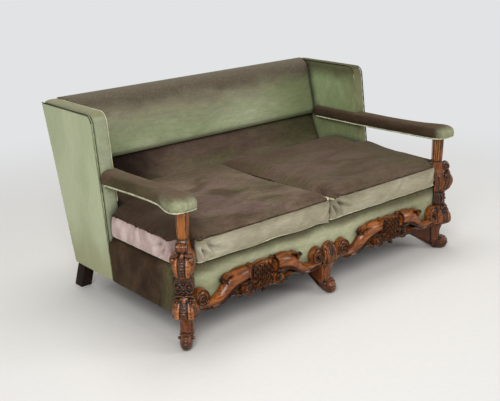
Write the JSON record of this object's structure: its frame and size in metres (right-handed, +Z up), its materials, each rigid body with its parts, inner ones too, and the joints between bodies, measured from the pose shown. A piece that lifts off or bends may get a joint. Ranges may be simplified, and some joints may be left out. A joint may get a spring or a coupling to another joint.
{
  "type": "two-seat sofa",
  "caption": "Upholstered two-seat sofa with square wings, padded open arms, loose seat cushions, and a carved show-wood front with scroll legs and pierced aprons.",
  "frame": {"origin": "on the floor under the middle of the sofa's bounding box", "axes": "+X along the seat towards the sofa's right as seen from the front, +Y to the back, +Z up"},
  "size_m": [1.7486, 1.0781, 0.901],
  "materials": {
    "walnut": "polished, dark in the carving",
    "stained_wood": "dark stain, satin",
    "beech": "sawn and planed, unfinished",
    "sage_velvet": "short-pile velvet",
    "brown_velvet": "short-pile velvet, nap brushed dark",
    "jute": "woven webbing",
    "hessian": "coarse plain weave",
    "stuffing": "felted fibre",
    "black_cloth": "thin plain cloth",
    "spring_steel": "coppered or bare wire"
  },
  "bodies": {
    "frame": {"back_webbing": "jute", "bottom_cloth": "black_cloth", "centre_leg": "walnut", "centre_seat_rail": "beech", "front_border": "sage_velvet", "front_seat_rail": "beech", "left_apron": "walnut", "left_arm_pad": "brown_velvet", "left_arm_rail": "beech", "left_back_post": "stained_wood", "left_front_corner_block": "beech", "left_front_leg": "walnut", "left_outer_wing_panel": "sage_velvet", "left_rear_corner_block": "beech", "left_seat_rail": "beech", "left_side_border": "brown_velvet", "left_spring_1": "spring_steel", "left_spring_2": "spring_steel", "left_spring_3": "spring_steel", "left_spring_4": "spring_steel", "left_spring_5": "spring_steel", "left_spring_6": "spring_steel", "left_wing_pad": "sage_velvet", "left_wing_top_rail": "beech", "left_wing_upright": "beech", "lower_back_pad": "brown_velvet", "lower_back_rail": "beech", "middle_back_rail": "beech", "outside_back_panel": "sage_velvet", "platform_cover": "brown_velvet", "rear_seat_rail": "beech", "right_apron": "walnut", "right_arm_pad": "brown_velvet", "right_arm_rail": "beech", "right_back_post": "stained_wood", "right_front_corner_block": "beech", "right_front_leg": "walnut", "right_outer_wing_panel": "sage_velvet", "right_rear_corner_block": "beech", "right_seat_rail": "beech", "right_side_border": "brown_velvet", "right_spring_1": "spring_steel", "right_spring_2": "spring_steel", "right_spring_3": "spring_steel", "right_spring_4": "spring_steel", "right_spring_5": "spring_steel", "right_spring_6": "spring_steel", "right_wing_pad": "sage_velvet", "right_wing_top_rail": "beech", "right_wing_upright": "beech", "seat_stuffing": "stuffing", "seat_webbing": "jute", "spring_hessian": "hessian", "top_back_rail": "beech", "upper_back_pad": "sage_velvet"},
    "left_cushion": {"left_seat_cushion": "brown_velvet"},
    "right_cushion": {"right_seat_cushion": "brown_velvet"}
  },
  "joints": [
    {"name": "left_cushion_lift", "type": "slide", "parent": "frame", "child": "left_cushion", "axis": [0, 0, 1], "range_m": [0, 0.07]},
    {"name": "right_cushion_lift", "type": "slide", "parent": "frame", "child": "right_cushion", "axis": [0, 0, 1], "range_m": [0, 0.07]}
  ]
}
